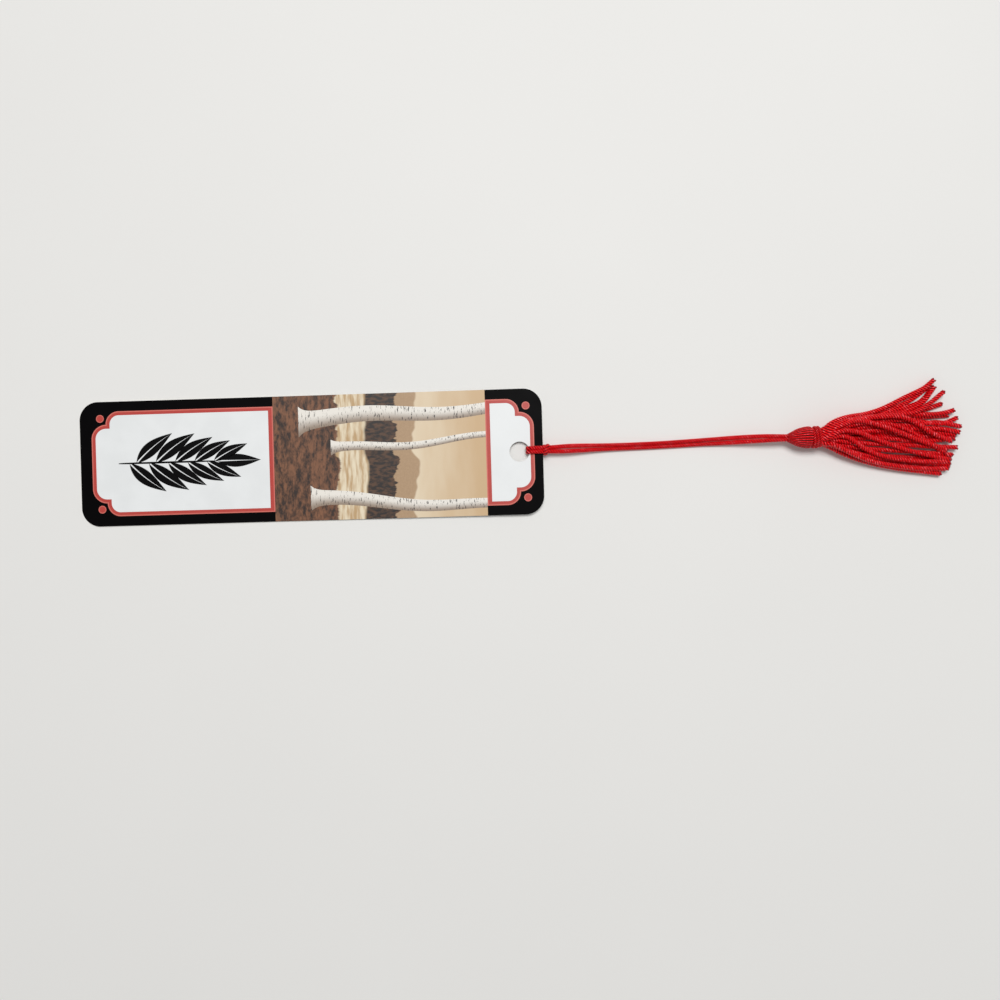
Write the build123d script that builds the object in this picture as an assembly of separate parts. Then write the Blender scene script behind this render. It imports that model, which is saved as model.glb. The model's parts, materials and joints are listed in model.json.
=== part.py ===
from build123d import *
import math
import os

# A bookmark: a printed card with a punched hole, a cord hitched through the hole and a tassel
# on the cord's end, lying on a table. The frame's origin is on the table under the middle of the
# card. +X runs along the card towards the tassel, +Y across the card and +Z up from the table.
# Lengths are in millimetres and angles in degrees.

# Card. The cord under its hole end lifts that end, so the card bows up from the stretch at its
# foot that lies flat.
CARD_LENGTH = 144.0
CARD_WIDTH = 38.8
CARD_THICKNESS = 0.5
CORNER_RADIUS = 5.8
HOLE_DIAMETER = 6.2
HOLE_TO_END = 7.2
FLAT_LENGTH = 44.0

# Cord. Its fold goes through the hole and round its own two legs in a lark's head hitch.
CORD_DIAMETER = 1.2
CARD_CLEARANCE = 0.12
CORD_CLEARANCE = 0.08
HITCH_BEND = 0.8
ROOT_LENGTH = 4.2
END_LENGTH = 4.2
SWING_CLEARANCE = 0.06
FOLD_LIMIT = 112.0
CORD_REACH = 74.3
CORD_DRIFT = 1.6

# The legs between the root and the end stretch: along, across and up from the lift hinge under
# the middle of the cord. The ends of each list are set by the hinges.
LEFT_ROUTE = [
    (4.6, 1.42, 2.20),
    (10.2, 1.30, 1.52),
    (19.0, 1.16, 0.94),
    (30.0, 1.40, 0.68),
    (41.0, 1.90, 0.84),
    (49.5, 2.22, 1.66),
    (56.4, 2.30, 3.08),
]
RIGHT_ROUTE = [
    (4.6, -0.90, 2.06),
    (10.2, -0.24, 1.30),
    (19.0, -0.10, 0.70),
    (30.0, 0.14, 0.62),
    (41.0, 0.62, 0.66),
    (49.5, 0.94, 1.36),
    (56.4, 1.00, 2.86),
]

# Tassel: the crown of folded strands, the neck and the flare below it.
CROWN_LENGTH = 7.0
CROWN_DIAMETER = 6.6
CROWN_TIP_DIAMETER = 3.4
CROWN_SHOULDER_DIAMETER = 6.3
CROWN_WIDEST_SHARE = 0.9
TAIL_DEPTH = 5.0
TAIL_CLEARANCE = 0.05
NECK_LENGTH = 3.0
NECK_DIAMETER = 5.6
FLARE_LENGTH = 0.8
FLARE_DIAMETER = 8.3
TABLE_CLEARANCE = 0.05

# Neck binding: turns of yarn round the neck.
BINDING_DIAMETER = 0.6
BINDING_GAP = 0.45
BINDING_SEAT = 0.05
BINDING_QUARTERS = 9

# Skirt: rows of strands, from the lowest row to the highest. Two rows at a time settle into one
# layer as they leave the neck, and the layers lie one on another.
STRAND_DIAMETER = 1.2
STRAND_CLEARANCE = 0.2
LAYER_CLEARANCE = 0.1
SKIRT_LENGTH = 42.8
SKIRT_SPREAD = 17.0
SKIRT_SWELL = 4.7
SKIRT_FALLING = 6.9
SKIRT_SETTLED = 8.4
ROW_COUNTS = [3, 5, 5, 5, 5, 3]
# which row each strand of a layer comes from, across the layer from -Y to +Y
LAYER_ROWS = [
    [1, 1, 0, 1, 0, 1, 0, 1],
    [2, 3, 2, 3, 2, 3, 2, 3, 2, 3],
    [4, 4, 5, 4, 5, 4, 5, 4],
]
# how far across the layer each strand lies where it swells, falls and settles
ORDER_SHARES = [
    [-1.00, -0.67, -0.41, -0.15, 0.12, 0.40, 0.69, 1.00],
    [-1.00, -0.79, -0.56, -0.34, -0.11, 0.10, 0.33, 0.55, 0.78, 1.00],
    [-1.00, -0.66, -0.42, -0.14, 0.13, 0.41, 0.70, 1.00],
]
# places along the skirt: straight out of the neck, swollen, falling and settled
STATION_SHARES = [0.05, 0.14, 0.27, 0.47]
FALL_SHARES = [0.0, 0.08, 0.48, 1.0]
# for each strand of each layer, from -Y to +Y: how far across the spread its middle and its tip
# lie, and how far along the skirt its tip reaches
MIDDLE_SHARES = [
    [-0.56, -0.42, -0.27, -0.13, 0.02, 0.20, 0.36, 0.56],
    [-0.61, -0.47, -0.345, -0.22, -0.11, 0.03, 0.14, 0.28, 0.40, 0.64],
    [-0.53, -0.37, -0.24, -0.10, 0.06, 0.20, 0.43, 0.68],
]
TIP_SHARES = [
    [-0.63, -0.43, -0.33, -0.10, 0.06, 0.29, 0.44, 0.75],
    [-0.70, -0.54, -0.36, -0.27, -0.09, 0.00, 0.13, 0.32, 0.42, 0.86],
    [-0.56, -0.44, -0.22, -0.13, 0.03, 0.21, 0.55, 1.00],
]
REACH_SHARES = [
    [0.88, 0.93, 0.97, 0.94, 0.99, 0.97, 0.91, 0.87],
    [0.85, 0.92, 0.94, 0.98, 0.95, 1.00, 0.98, 0.97, 0.94, 0.84],
    [0.90, 0.91, 0.95, 0.92, 1.00, 0.97, 0.89, 0.82],
]
MIDDLE_STATION_SHARE = 0.52

# An arc of a cord's route takes this share of its shorter run on each side of the corner.
ARC_SHARE = 0.45
OVERRUN = 5.0
GAP_SAMPLES = 240

os.makedirs("parts", exist_ok=True)

# Places that follow from the sizes
card_end = CARD_LENGTH / 2
cord_radius = CORD_DIAMETER / 2
strand_radius = STRAND_DIAMETER / 2
hole_x = card_end - HOLE_TO_END
hole_wall = hole_x + HOLE_DIAMETER / 2
bow_start = FLAT_LENGTH - card_end
bow_lift = CORD_DIAMETER + CARD_CLEARANCE
bow_radius = ((hole_wall - bow_start) ** 2 + bow_lift**2) / (2 * bow_lift)


def card_underside(x):
    """Height of the bowed card's lower face at a place along the card."""
    return bow_radius - math.sqrt(bow_radius**2 - (x - bow_start) ** 2)


leg_side = (CORD_DIAMETER + CORD_CLEARANCE) / 2
pair_half_width = leg_side + cord_radius
hitch_height = card_underside(card_end) + CARD_THICKNESS + CARD_CLEARANCE + cord_radius
collar_x = card_end + CARD_CLEARANCE + cord_radius
swing_room = pair_half_width + SWING_CLEARANCE
fold_room = cord_radius * math.tan(math.radians(FOLD_LIMIT / 2)) + SWING_CLEARANCE
swing_x = collar_x + cord_radius + CARD_CLEARANCE + swing_room
lift_x = swing_x + ROOT_LENGTH
crown_tip = card_end + CORD_REACH
tassel_swing_x = crown_tip - swing_room - SWING_CLEARANCE
tassel_lift_x = tassel_swing_x - END_LENGTH
crown_height = FLARE_DIAMETER / 2 + TABLE_CLEARANCE
neck_start = crown_tip + CROWN_LENGTH
flare_start = neck_start + NECK_LENGTH
skirt_start = flare_start + FLARE_LENGTH


def route_radii(points):
    """The arc's radius at each corner of a route, from its shorter run and its turn."""
    radii = []
    for before, corner, after in zip(points, points[1:], points[2:]):
        run_in, run_out = corner - before, after - corner
        turn = math.radians(run_in.get_angle(run_out))
        radii.append(ARC_SHARE * min(run_in.length, run_out.length) / math.tan(turn / 2))
    return radii


def tube(path, radius):
    """A round tube along a path."""
    start = Plane(origin=path @ 0, z_dir=path % 0)
    return sweep(start * Circle(radius), path=path)


def least_gap(path, other, diameter):
    """The least gap between two tubes of one diameter, on points along their paths."""
    places = [path @ (n / GAP_SAMPLES) for n in range(GAP_SAMPLES + 1)]
    others = [other @ (n / GAP_SAMPLES) for n in range(GAP_SAMPLES + 1)]
    return min((a - b).length for a in places for b in others) - diameter


def report_tube(name, part, path, radius):
    """Print a tube's length and its volume against its section times its length."""
    wanted = math.pi * radius**2 * path.length
    print(f"{name}: length {path.length:.2f}, volume {part.volume:.4f} of {wanted:.4f}")


def card():
    """The card: a flat stretch and a gentle bow in side view, cut to the card's outline."""
    sheet_start, sheet_end = -card_end - OVERRUN, card_end + OVERRUN
    arc_angle = math.degrees(math.asin((sheet_end - bow_start) / bow_radius))
    center = (bow_start, bow_radius)
    with BuildPart() as sheet:
        with BuildSketch(Plane.XZ):
            with BuildLine():
                lower = Line((sheet_start, 0), (bow_start, 0))
                lower_bow = CenterArc(center, bow_radius, -90, arc_angle)
                upper_bow = CenterArc(center, bow_radius - CARD_THICKNESS, -90, arc_angle)
                Line(lower_bow @ 1, upper_bow @ 1)
                upper = Line(upper_bow @ 0, (sheet_start, CARD_THICKNESS))
                Line(upper @ 1, lower @ 0)
            make_face()
        extrude(amount=CARD_WIDTH / 2 + OVERRUN, both=True)
    outline = RectangleRounded(CARD_LENGTH, CARD_WIDTH, CORNER_RADIUS)
    outline -= Pos(hole_x, 0) * Circle(HOLE_DIAMETER / 2)
    height = card_underside(sheet_end) + CARD_THICKNESS + OVERRUN
    return sheet.part & (Pos(0, 0, -OVERRUN) * extrude(outline, height + OVERRUN))


def hitch_path():
    """The fold of the cord: over the card's end strip, through the hole, back under the strip,
    up beside the legs and across them, and the same way back on the other side."""
    down_x = hole_wall - CARD_CLEARANCE - cord_radius
    collar_side = leg_side + CORD_DIAMETER + CORD_CLEARANCE
    collar_top = hitch_height + CORD_DIAMETER + CORD_CLEARANCE
    left = [
        Vector(swing_x - swing_room, leg_side, hitch_height),
        Vector(down_x, leg_side, hitch_height),
        Vector(down_x, leg_side, cord_radius),
        Vector(collar_x, collar_side, cord_radius),
        Vector(collar_x, collar_side, collar_top),
    ]
    right = [Vector(p.X, -p.Y, p.Z) for p in reversed(left)]
    collar_bend = CORD_DIAMETER + CORD_CLEARANCE
    bends = [HITCH_BEND, HITCH_BEND, HITCH_BEND, collar_bend]
    return FilletPolyline(*left, *right, radius=bends + bends[::-1])


def straight_cord(start, end):
    """A straight stretch of cord between two points."""
    return tube(Line(start, end), cord_radius)


def ball(center):
    """The rounded end of a stretch of cord, about a hinge."""
    return Pos(*center) * Sphere(cord_radius)


def leg_points(route, side):
    """A leg's route, from the lift hinge at the root to the one at the tassel."""
    first = Vector(lift_x, side, hitch_height)
    last = Vector(tassel_lift_x, CORD_DRIFT + side, crown_height)
    return [first, *[Vector(lift_x + x, y, z) for x, y, z in route], last]


def crown():
    """The crown: a round bulb, the neck's groove and the flare, with a slot for the cord's tails."""
    tip = CROWN_TIP_DIAMETER / 2
    wide = CROWN_DIAMETER / 2
    shoulder = CROWN_SHOULDER_DIAMETER / 2
    widest_x = crown_tip + CROWN_LENGTH * CROWN_WIDEST_SHARE
    with BuildPart() as bulb:
        with BuildSketch(Plane.XY):
            with BuildLine():
                top = Line((crown_tip, 0), (crown_tip, tip))
                rise = TangentArc((widest_x, wide), top @ 1, tangent=(-1, 0))
                fall = TangentArc((widest_x, wide), (neck_start, shoulder), tangent=(1, 0))
                Polyline(
                    fall @ 1,
                    (neck_start, NECK_DIAMETER / 2),
                    (flare_start, NECK_DIAMETER / 2),
                    (flare_start, FLARE_DIAMETER / 2),
                    (skirt_start, FLARE_DIAMETER / 2),
                    (skirt_start, 0),
                    (crown_tip, 0),
                )
            make_face()
        revolve(axis=Axis.X)
    slot_width = CORD_DIAMETER + 2 * TAIL_CLEARANCE
    slot = Plane.YZ * SlotCenterToCenter(2 * leg_side, slot_width)
    slot = Pos(crown_tip, 0, 0) * extrude(slot, TAIL_DEPTH)
    return Pos(0, CORD_DRIFT, crown_height) * (bulb.part - slot)


def biarc(start, start_way, end, end_way):
    """Two arcs that leave one point and reach another in given directions."""
    span, ways = end - start, start_way + end_way
    lack = 2 * (1 - start_way.dot(end_way))
    along = span.dot(ways)
    reach = (math.sqrt(along**2 + lack * span.dot(span)) - along) / lack
    middle = (start + start_way * reach + end - end_way * reach) * 0.5
    first = TangentArc(start, middle, tangent=start_way)
    second = TangentArc(middle, end, tangent=first % 1)
    return [first, second]


def binding_path():
    """The yarn round the neck: a helix of quarter turns, with a straight run at each end."""
    radius = (NECK_DIAMETER + BINDING_DIAMETER) / 2 + BINDING_SEAT
    pitch = BINDING_DIAMETER + BINDING_GAP
    first_x = neck_start + (NECK_LENGTH - pitch * BINDING_QUARTERS / 4) / 2
    climb = pitch / math.tau
    places, ways = [], []
    for quarter in range(BINDING_QUARTERS + 1):
        angle = quarter * math.pi / 2
        across, up = math.cos(angle), math.sin(angle)
        places.append(
            Vector(
                first_x + pitch * quarter / 4,
                CORD_DRIFT + radius * across,
                crown_height + radius * up,
            )
        )
        ways.append(Vector(climb, -radius * up, radius * across).normalized())
    edges = [Line(places[0] - ways[0] * BINDING_DIAMETER, places[0])]
    for quarter in range(BINDING_QUARTERS):
        edges += biarc(
            places[quarter], ways[quarter], places[quarter + 1], ways[quarter + 1]
        )
    edges.append(Line(places[-1], places[-1] + ways[-1] * BINDING_DIAMETER))
    return Wire([edge for line in edges for edge in line.edges()])


def binding_gap(path):
    """The binding's least gap to itself, on points more than half a turn apart."""
    samples = GAP_SAMPLES * 2
    places = [path @ (n / samples) for n in range(samples + 1)]
    half_turn = samples // BINDING_QUARTERS * 2
    return (
        min(
            (a - b).length
            for n, a in enumerate(places)
            for b in places[n + half_turn :]
        )
        - BINDING_DIAMETER
    )


def strand_points(layer, place):
    """A skirt strand's route: straight out of the neck in its row, swelling out, falling into its
    layer and on to its tip."""
    rows = LAYER_ROWS[layer]
    row = rows[place]
    side_pitch = STRAND_DIAMETER + STRAND_CLEARANCE
    layer_pitch = STRAND_DIAMETER + LAYER_CLEARANCE
    column = rows[:place].count(row)
    start_side = side_pitch * (column - (ROW_COUNTS[row] - 1) / 2)
    start_height = crown_height + layer_pitch * (row - (len(ROW_COUNTS) - 1) / 2)
    settled_height = strand_radius + layer_pitch * layer
    order = ORDER_SHARES[layer][place]
    sides = [start_side, SKIRT_SWELL * order, SKIRT_FALLING * order, SKIRT_SETTLED * order]
    points = [(0.0, start_side, start_height)]
    for along, side, fall in zip(STATION_SHARES, sides, FALL_SHARES):
        height = start_height + (settled_height - start_height) * fall
        points.append((SKIRT_LENGTH * along, side, height))
    settled = SKIRT_LENGTH * STATION_SHARES[-1]
    tip = SKIRT_LENGTH * REACH_SHARES[layer][place]
    middle = settled + (tip - settled) * MIDDLE_STATION_SHARE
    points.append((middle, SKIRT_SPREAD * MIDDLE_SHARES[layer][place], settled_height))
    points.append((tip, SKIRT_SPREAD * TIP_SHARES[layer][place], settled_height))
    return [Vector(skirt_start + x, CORD_DRIFT + y, z) for x, y, z in points]


export_step(card(), "parts/card.step")

path = hitch_path()
hitch = tube(path, cord_radius)
report_tube("cord_hitch", hitch, path, cord_radius)
export_step(hitch, "parts/cord_hitch.step")
cord_length = path.length

leg_paths = []
for name, side, route in (("left", leg_side, LEFT_ROUTE), ("right", -leg_side, RIGHT_ROUTE)):
    root = (swing_x, side, hitch_height)
    root_end = (lift_x - fold_room, side, hitch_height)
    export_step(straight_cord(root, root_end) + ball(root), f"parts/cord_root_{name}.step")

    points = leg_points(route, side)
    radii = route_radii(points)
    print(f"cord_{name} radii: " + ", ".join(f"{radius:.1f}" for radius in radii))
    path = FilletPolyline(*points, radius=radii)
    leg = tube(path, cord_radius)
    report_tube(f"cord_{name}", leg, path, cord_radius)
    export_step(leg + ball(points[0]) + ball(points[-1]), f"parts/cord_{name}.step")
    leg_paths.append(path)
    cord_length += path.length

    end_side = CORD_DRIFT + side
    end = (tassel_swing_x, end_side, crown_height)
    end_start = (tassel_lift_x + fold_room, end_side, crown_height)
    export_step(straight_cord(end_start, end) + ball(end), f"parts/cord_end_{name}.step")

    tail_start = (tassel_swing_x + swing_room, end_side, crown_height)
    tail_end = (crown_tip + TAIL_DEPTH, end_side, crown_height)
    export_step(straight_cord(tail_start, tail_end), f"parts/cord_tail_{name}.step")
    cord_length += ROOT_LENGTH + END_LENGTH + tail_end[0] - tassel_swing_x

print(f"cord legs: least gap {least_gap(*leg_paths, CORD_DIAMETER):.3f}")
print(f"cord: whole length about {cord_length:.0f}")

export_step(crown(), "parts/tassel_crown.step")

path = binding_path()
binding = tube(path, BINDING_DIAMETER / 2)
report_tube("neck_binding", binding, path, BINDING_DIAMETER / 2)
print(f"neck_binding: least gap to itself {binding_gap(path):.3f}")
export_step(binding, "parts/neck_binding.step")

number = 0
for layer, rows in enumerate(LAYER_ROWS):
    for place in range(len(rows)):
        number += 1
        name = f"skirt_strand_{number:02d}"
        points = strand_points(layer, place)
        radii = route_radii(points)
        path = FilletPolyline(*points, radius=radii)
        strand = tube(path, strand_radius)
        wanted = math.pi * strand_radius**2 * path.length
        print(
            f"{name}: length {path.length:.1f}, least radius {min(radii):.1f}, "
            f"volume {strand.volume:.3f} of {wanted:.3f}"
        )
        export_step(strand, f"parts/{name}.step")
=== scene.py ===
"""The looks of a tasselled bookmark, in metres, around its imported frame.

The card lies along X with its printed face up. A cord is hitched through its punched hole and runs
on along X to a tassel: a crown of folded strands, a binding round its neck and a skirt of strands.
"""

import json
import math

import bpy
import numpy as np
from bpy.props import FloatProperty, FloatVectorProperty, IntProperty, PointerProperty
from mathutils import Matrix, Vector


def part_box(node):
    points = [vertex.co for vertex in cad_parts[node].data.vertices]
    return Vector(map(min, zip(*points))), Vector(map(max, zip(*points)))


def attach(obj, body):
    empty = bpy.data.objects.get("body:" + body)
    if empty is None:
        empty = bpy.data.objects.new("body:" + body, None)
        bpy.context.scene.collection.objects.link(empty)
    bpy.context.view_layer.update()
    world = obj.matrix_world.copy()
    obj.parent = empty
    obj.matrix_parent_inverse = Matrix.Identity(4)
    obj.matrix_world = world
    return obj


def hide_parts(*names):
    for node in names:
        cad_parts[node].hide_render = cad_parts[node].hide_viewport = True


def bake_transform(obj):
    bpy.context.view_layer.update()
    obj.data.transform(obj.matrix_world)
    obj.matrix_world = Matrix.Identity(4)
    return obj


bl_info = {
    "name": "Tasselled Bookmark",
    "version": (1, 0, 0),
    "blender": (4, 5, 0),
    "location": "View3D > Sidebar > Bookmark",
    "description": "Builds a printed card bookmark with a hitched cord and a bound tassel",
    "category": "Add Mesh",
}

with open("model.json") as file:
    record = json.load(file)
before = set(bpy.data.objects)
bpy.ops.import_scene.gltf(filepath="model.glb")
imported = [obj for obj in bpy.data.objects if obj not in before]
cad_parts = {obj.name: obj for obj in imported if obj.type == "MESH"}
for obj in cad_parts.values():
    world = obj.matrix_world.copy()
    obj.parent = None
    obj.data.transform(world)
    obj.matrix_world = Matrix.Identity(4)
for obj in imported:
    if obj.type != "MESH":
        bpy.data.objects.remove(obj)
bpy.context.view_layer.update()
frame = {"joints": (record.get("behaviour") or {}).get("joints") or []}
MM = 0.001

# Places that the frame gives
CARD_LOW, CARD_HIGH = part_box("card")
CROWN_LOW, CROWN_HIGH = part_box("tassel_crown")
HINGES = {joint["name"]: Vector(joint["pos_m"]) for joint in frame["joints"]}
TASSEL_AXIS = HINGES["tassel_swing"]
SKIRT_START = CROWN_HIGH.x


def screen_colour(red, green, blue):
    """A colour as a screen shows it, 0 to 255, as the linear values that a shader takes."""
    share = np.array([red, green, blue]) / 255
    return tuple(np.where(share <= 0.04045, share / 12.92, ((share + 0.055) / 1.055) ** 2.4))


def length(name, millimetres, description):
    """A property that holds a length."""
    return FloatProperty(
        name=name,
        description=description,
        default=millimetres * MM,
        min=0.0,
        unit="LENGTH",
        precision=5,
    )


def colour(name, red, green, blue, description):
    """A property that holds a colour, given as a screen shows it."""
    return FloatVectorProperty(
        name=name,
        description=description,
        default=screen_colour(red, green, blue),
        size=3,
        min=0.0,
        max=1.0,
        subtype="COLOR",
    )


def number(name, default, description, **limits):
    """A property that holds a plain number or an angle."""
    return FloatProperty(name=name, description=description, default=default, **limits)


class BookmarkCard(bpy.types.PropertyGroup):
    """Sizes of the card and of the print on it."""

    thickness: length("Thickness", 0.5, "Thickness of the card")
    corner: length("Corner radius", 5.8, "Radius of the card's rounded corners")
    flat: length("Flat stretch", 44.0, "Length at the card's foot that lies flat")
    hole: length("Hole", 6.2, "Diameter of the punched hole")
    hole_to_end: length("Hole to end", 7.2, "From the middle of the hole to the card's end")
    film: length("Ink film", 0.012, "Height of a layer of print above what it lies on")
    foot_border: length("Foot border", 3.62, "Width of the black border at the foot")
    head_border: length("Head border", 2.6, "Width of the black border at the head")
    side_border: length("Side border", 3.05, "Width of the black border along the sides")
    picture_start: length("Picture start", 60.5, "From the card's foot to the picture")
    picture_end: length("Picture end", 126.5, "From the card's foot to the picture's far edge")
    rule: length("Rule", 1.24, "Width of the red rule round a panel")
    inner_rule: length("Inner rule", 1.45, "Width of the red rule beside the picture")
    hairline: length("Hairline", 0.34, "Width of the pale line along the rule's outer edge")
    step: length("Corner step", 4.1, "Radius of the corner's arc nearer the long side")
    end_step: length("End step", 4.5, "Radius of the corner's arc nearer the end")
    dot: length("Dot", 2.42, "Diameter of the dots in the border's corners")
    dot_inset: length("Dot inset", 5.25, "From a dot's middle to the card's long edge")
    foot_dot_inset: length("Foot dot inset", 6.4, "From a dot's middle to the card's foot")
    head_dot_inset: length("Head dot inset", 4.95, "From a dot's middle to the card's head")
    stock_colour: colour("Stock", 236, 238, 238, "Coated white card")
    core_colour: colour("Core", 226, 222, 212, "Cut edge of the card")
    border_colour: colour("Border", 4, 3, 4, "Black ink of the border")
    rule_colour: colour("Rule", 188, 66, 58, "Red ink of the rule and the dots")
    hairline_colour: colour("Hairline", 214, 112, 100, "Paler line along the rule and the dots")


class BookmarkCord(bpy.types.PropertyGroup):
    """Sizes and colours of the cord and the tassel's strands."""

    cord: length("Cord", 1.28, "Diameter of the cord")
    cord_lay: length("Cord lay", 2.4, "Length of one turn of the cord's yarns")
    strand: length("Strand", 1.54, "Diameter of a skirt strand")
    strand_lay: length("Strand lay", 2.5, "Length of one turn of a strand's yarns")
    binding: length("Binding yarn", 0.9, "Diameter of the yarn round the neck")
    binding_lay: length("Binding lay", 1.9, "Length of one turn of the binding's yarns")
    binding_turns: number("Binding turns", 2.5, "Turns of yarn round the neck", min=1.0, max=8.0)
    yarns: IntProperty(
        name="Yarns", description="Yarns twisted into a cord", default=3, min=2, max=5
    )
    ring_step: length("Ring step", 0.13, "Distance between a yarn's rings of points")
    # Painted shade: the yarn goes from this red where it faces out to a much darker red where it
    # faces into the creases between yarns, in place of the shade there
    bright: colour("Red", 221, 0, 8, "The yarn where it faces out")
    crease_shade: colour("Deep red", 42, 0, 1, "The yarn in the creases between yarns")
    # Painted highlight: a paler line along each yarn's outermost side, in place of the light that
    # catches it there
    crest: colour("Crest", 255, 52, 62, "The silky line along the outermost side of each yarn")
    # Painted highlight: short paler glints at random places along the painted highlight line
    painted_glint: colour("Glint", 255, 112, 120, "Where the silky line is smoothest")
    cut: colour("Cut end", 118, 26, 38, "The yarn at its cut end")
    gleam: colour("Gleam", 255, 120, 126, "Tint of the yarn's highlights")


class BookmarkPicture(bpy.types.PropertyGroup):
    """Colours of the printed picture."""

    low_sky: colour("Low sky", 236, 222, 196, "Sky over the hills")
    high_sky: colour("High sky", 205, 174, 134, "Sky at the picture's top")
    hills_shade: colour("Hills' shade", 158, 128, 98, "Darker tone of the far hills")
    hills: colour("Hills", 190, 160, 126, "Lighter tone of the far hills")
    wood_shade: colour("Wood's shade", 26, 19, 16, "Darker tone of the wood")
    wood: colour("Wood", 86, 60, 42, "Lighter tone of the wood")
    meadow_shade: colour("Meadow's shade", 190, 158, 116, "Darker tone of the meadow")
    meadow: colour("Meadow", 234, 220, 192, "Lighter tone of the meadow")
    earth_shade: colour("Earth's shade", 38, 24, 17, "Darker tone of the earth in front")
    earth: colour("Earth", 128, 86, 60, "Lighter tone of the earth in front")
    bark_shade: colour("Bark's shade", 150, 132, 116, "Bark along a trunk's shaded edge")
    bark: colour("Bark", 238, 233, 224, "White bark")
    bark_dash: colour("Bark's dashes", 30, 24, 22, "Dark dashes across the bark")


class BookmarkStage(bpy.types.PropertyGroup):
    """Camera, lamps and table."""

    camera: FloatVectorProperty(
        name="Camera",
        description="Place of the camera",
        default=(0.064035, -0.014716, 0.31074),
        size=3,
        unit="LENGTH",
        precision=4,
    )
    lean: number(
        "Lean",
        math.radians(1.055),
        "How far the camera leans towards the card's foot from straight down",
        unit="ROTATION",
    )
    roll: number(
        "Roll", math.radians(-1.657), "How far the camera is rolled about its view", unit="ROTATION"
    )
    lens: number("Lens", 36.108, "Focal length in millimetres on a 36 mm sensor", min=10.0)
    table: colour("Table", 236, 235, 232, "The pale table")
    sky: number("Room light", 0.33, "Strength of the light from all round", min=0.0)
    backdrop: number("Backdrop", 0.8, "Brightness of the room as it is seen", min=0.0)
    window: number("Window light", 12.7, "Power of the large soft lamp", min=0.0)


class Finish:
    """A material as it is made: its shader, and short calls that add nodes and link them."""

    def __init__(self, name, **sockets):
        self.material = bpy.data.materials.new(name)
        self.material.use_nodes = True
        self.tree = self.material.node_tree
        self.shader = self.tree.nodes["Principled BSDF"]
        for socket, value in sockets.items():
            self.feed(self.shader.inputs[socket.replace("_", " ")], value)

    def feed(self, socket, value):
        """Link a socket to another, or set it to a constant."""
        if isinstance(value, bpy.types.NodeSocket):
            self.tree.links.new(value, socket)
        elif socket.type == "RGBA":
            socket.default_value = (*value[:3], 1.0)
        else:
            socket.default_value = value

    def node(self, kind, inputs, output=0, **settings):
        """A new node's output. Inputs are named or numbered."""
        node = self.tree.nodes.new(kind)
        for setting, value in settings.items():
            setattr(node, setting, value)
        for key, value in inputs.items():
            self.feed(node.inputs[key], value)
        return node.outputs[output]

    def millimetres(self, stretch=(1.0, 1.0, 1.0)):
        """Object coordinates in millimetres, stretched along the axes."""
        place = self.node("ShaderNodeTexCoord", {}, "Object")
        scale = tuple(share / MM for share in stretch)
        return self.node("ShaderNodeVectorMath", {0: place, 1: scale}, operation="MULTIPLY")

    def surface_map(self, stretch):
        """The piece's own map, stretched around and along it."""
        place = self.node("ShaderNodeUVMap", {}, uv_map="yarn")
        scale = (*stretch, 1.0)
        return self.node("ShaderNodeVectorMath", {0: place, 1: scale}, operation="MULTIPLY")

    def axis(self, vector, name):
        """One of a vector's three values."""
        return self.node("ShaderNodeSeparateXYZ", {0: vector}, name)

    def math(self, operation, first, second=0.0):
        """The result of an operation on one or two values."""
        return self.node("ShaderNodeMath", {0: first, 1: second}, operation=operation)

    def noise(self, vector, scale, detail=2.0, roughness=0.5):
        """Smooth noise from 0 to 1."""
        inputs = {"Vector": vector, "Scale": scale, "Detail": detail, "Roughness": roughness}
        return self.node("ShaderNodeTexNoise", inputs)

    def fade(self, value, start, end, low=0.0, high=1.0):
        """A smooth step from low to high as a value goes from start to end."""
        inputs = {"Value": value, "From Min": start, "From Max": end, "To Min": low, "To Max": high}
        return self.node("ShaderNodeMapRange", inputs, interpolation_type="SMOOTHSTEP")

    def mix(self, factor, first, second):
        """A colour between two colours."""
        return self.node("ShaderNodeMix", {0: factor, 6: first, 7: second}, 2, data_type="RGBA")

    def bump(self, height, strength, depth):
        """Feed a height to the shader's normal."""
        inputs = {"Height": height, "Strength": strength, "Distance": depth}
        self.feed(self.shader.inputs["Normal"], self.node("ShaderNodeBump", inputs))

    def paint(self, result):
        """Feed a colour to the shader."""
        self.feed(self.shader.inputs["Base Color"], result)

    def roughen(self, value):
        """Feed a roughness to the shader."""
        self.feed(self.shader.inputs["Roughness"], value)


def shaded(tone, share):
    """A colour with each of its values times a share."""
    return tuple(share * value for value in tone)


def coated_stock(card):
    """White card with a thin smooth coat: faint cloudiness in its tone and gloss."""
    finish = Finish("coated_stock", Specular_IOR_Level=0.35, Coat_Weight=0.12, Coat_Roughness=0.3)
    place = finish.millimetres()
    clouds = finish.noise(place, scale=0.09, detail=3.0)
    pale = card.stock_colour
    finish.paint(finish.mix(finish.fade(clouds, 0.35, 0.68), shaded(pale, 0.955), pale))
    finish.roughen(finish.fade(clouds, 0.3, 0.7, low=0.36, high=0.48))
    finish.bump(finish.noise(place, scale=3.2, detail=3.0), strength=0.05, depth=0.02 * MM)
    return finish.material


def cut_core(card):
    """The card's cut edge: matt paper in thin layers."""
    finish = Finish("cut_core", Roughness=0.85, Specular_IOR_Level=0.2)
    layers = finish.noise(finish.millimetres((0.7, 0.7, 9.0)), scale=1.4, detail=3.0)
    finish.paint(finish.mix(layers, shaded(card.core_colour, 0.8), card.core_colour))
    finish.bump(layers, strength=0.35, depth=0.03 * MM)
    return finish.material


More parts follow.
